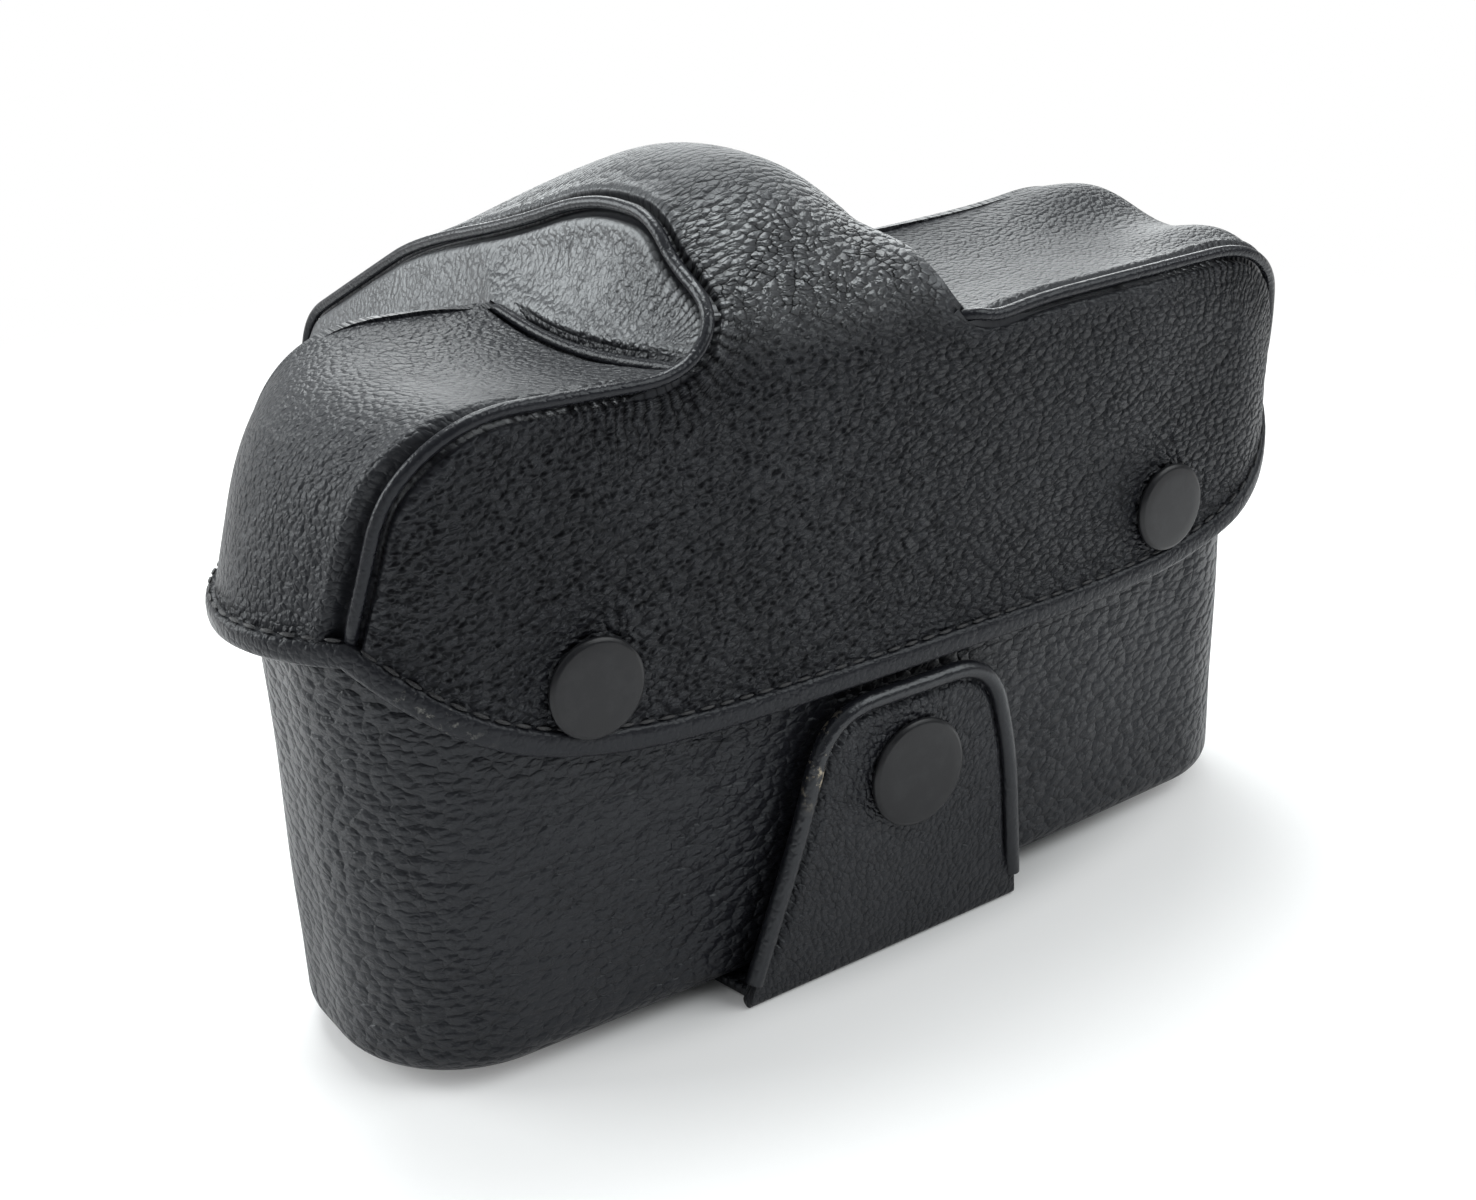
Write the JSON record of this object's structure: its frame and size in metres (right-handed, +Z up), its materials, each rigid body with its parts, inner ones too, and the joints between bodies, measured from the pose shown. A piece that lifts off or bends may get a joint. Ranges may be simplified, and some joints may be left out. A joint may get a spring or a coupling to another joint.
{
  "type": "camera case",
  "caption": "Closed ever-ready camera case of moulded leather: lower half with a camera screw, hinged hood with finder hump and lens nose, back flap on snaps, and a strap with a snap tongue.",
  "frame": {"origin": "on the floor under the middle of the lower half, at the strap's underside", "axes": "+X to the right seen from the back flap, +Y towards the lens nose, +Z up"},
  "size_m": [0.1692, 0.1141, 0.1068],
  "materials": {
    "black_leather": "pebble-grained black leather, satin sheen",
    "pile_lining": "short black pile",
    "fibre_board": "plain fibre board",
    "snap_cap": "satin black enamel",
    "steel": "nickel-plated",
    "brass": "turned"
  },
  "bodies": {
    "lower_half": {"lower_shell": "black_leather", "lower_lining": "pile_lining", "base_board": "fibre_board", "strap": "black_leather", "hood_stud_left": "steel", "hood_stud_right": "steel", "tongue_stud": "steel", "hood_post_left": "steel", "hood_post_right": "steel", "tongue_post": "steel", "screw_bush": "brass"},
    "hood": {"back_panel": "black_leather", "gusset_left": "black_leather", "gusset_right": "black_leather", "nose_side_left": "black_leather", "nose_side_right": "black_leather", "front_panel_left": "black_leather", "front_panel_right": "black_leather", "nose_floor": "black_leather", "crown_welt_left": "black_leather", "crown_welt_right": "black_leather", "shoulder_welt_left": "black_leather", "shoulder_welt_right": "black_leather", "hood_binding": "black_leather", "gusset_lining_left": "pile_lining", "gusset_lining_right": "pile_lining", "crown_lining": "pile_lining", "hood_cap_left": "snap_cap", "hood_cap_right": "snap_cap", "hood_socket_left": "steel", "hood_socket_right": "steel"},
    "tongue": {"tongue_flap": "black_leather", "tongue_binding": "black_leather", "tongue_cap": "snap_cap", "tongue_socket": "steel"},
    "screw": {"camera_screw": "steel", "screw_clip": "steel"}
  },
  "joints": [
    {"name": "hood_tip", "type": "hinge", "parent": "lower_half", "child": "hood", "pos_m": [-0.0115, 0.0855, 0.03], "axis": [-1, 0, 0], "range_deg": [0, 120]},
    {"name": "tongue_lift", "type": "hinge", "parent": "lower_half", "child": "tongue", "pos_m": [-0.0048, -0.0253, 0.0009], "axis": [1, 0, 0], "range_deg": [0, 85]},
    {"name": "screw_turn", "type": "hinge", "parent": "lower_half", "child": "screw", "pos_m": [0.038, 0, 0.004], "axis": [0, 0, 1], "continuous": true}
  ]
}
